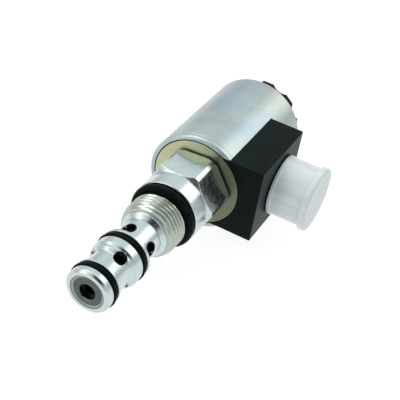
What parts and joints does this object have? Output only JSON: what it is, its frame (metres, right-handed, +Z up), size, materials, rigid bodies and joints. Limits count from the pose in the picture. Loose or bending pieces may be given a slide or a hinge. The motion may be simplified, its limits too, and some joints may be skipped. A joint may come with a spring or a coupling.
{
  "type": "solenoid cartridge valve",
  "caption": "Screw-in solenoid cartridge valve: sealed spool sleeve, threaded hex body, round coil can and a side connector under a push-on cap.",
  "frame": {"origin": "on the cartridge's axis, in the plane of the hex body's flange face that seats on the manifold", "axes": "-Y towards the nose of the cartridge, +Y towards the coil nut, +X along the side connector, +Z up"},
  "size_m": [0.0566, 0.1209, 0.036],
  "materials": {
    "plated_steel": "bright zinc plated steel, turned",
    "insert_steel": "plain turned steel, grey",
    "spool_steel": "hardened and ground steel",
    "spring_steel": "drawn spring wire",
    "seal_rubber": "black nitrile rubber, satin",
    "backup_plastic": "black filled PTFE",
    "core_iron": "soft magnetic steel, turned",
    "tube_steel": "magnetic stainless tube, turned",
    "break_metal": "non-magnetic brazed ring",
    "shim_brass": "thin brass shim",
    "yellow_zinc": "yellow passivated zinc plate",
    "coil_can": "zinc plated steel, faintly iridescent",
    "bobbin_plastic": "glass filled nylon",
    "winding_wire": "enamelled copper wire",
    "housing_plastic": "black glass filled nylon, satin",
    "contact_metal": "tinned contact",
    "cap_plastic": "milky natural polyethylene",
    "nut_plastic": "black moulded nylon",
    "insert_brass": "turned brass insert"
  },
  "bodies": {
    "cartridge": {"cartridge_sleeve": "plated_steel", "nose_retainer": "insert_steel", "front_o_ring": "seal_rubber", "front_backup_ring": "backup_plastic", "rear_o_ring": "seal_rubber", "rear_backup_ring": "backup_plastic", "return_spring": "spring_steel", "hex_body": "plated_steel", "seat_o_ring": "seal_rubber", "pole_piece": "core_iron", "pole_shim": "shim_brass", "tube_front": "tube_steel", "tube_break_ring": "break_metal", "tube_rear": "tube_steel", "tube_plug": "core_iron", "coil_front_seal": "seal_rubber"},
    "spool": {"spool": "spool_steel", "push_pin": "spool_steel", "armature": "core_iron"},
    "coil": {"coil_front_plate": "yellow_zinc", "coil_rear_plate": "yellow_zinc", "coil_bobbin": "bobbin_plastic", "coil_winding": "winding_wire", "coil_shell": "coil_can", "connector_box": "housing_plastic", "connector_barrel": "housing_plastic", "contact_pins": "contact_metal"},
    "cap": {"protective_cap": "cap_plastic"},
    "nut": {"coil_nut": "nut_plastic", "nut_insert": "insert_brass", "coil_rear_seal": "seal_rubber"}
  },
  "joints": [
    {"name": "spool_slide", "type": "slide", "parent": "cartridge", "child": "spool", "axis": [0, -1, 0], "range_m": [0, 0.0022], "stiffness_N_per_m": 1500, "springref_m": -0.002, "deforming": ["return_spring"]},
    {"name": "coil_swivel", "type": "hinge", "parent": "cartridge", "child": "coil", "pos_m": [0, 0.0448, 0], "axis": [0, 1, 0], "continuous": true},
    {"name": "nut_turn", "type": "hinge", "parent": "cartridge", "child": "nut", "pos_m": [0, 0.0724, 0], "axis": [0, 1, 0], "continuous": true},
    {"name": "cap_pull", "type": "slide", "parent": "coil", "child": "cap", "axis": [1, 0, 0], "range_m": [0, 0.02]}
  ]
}
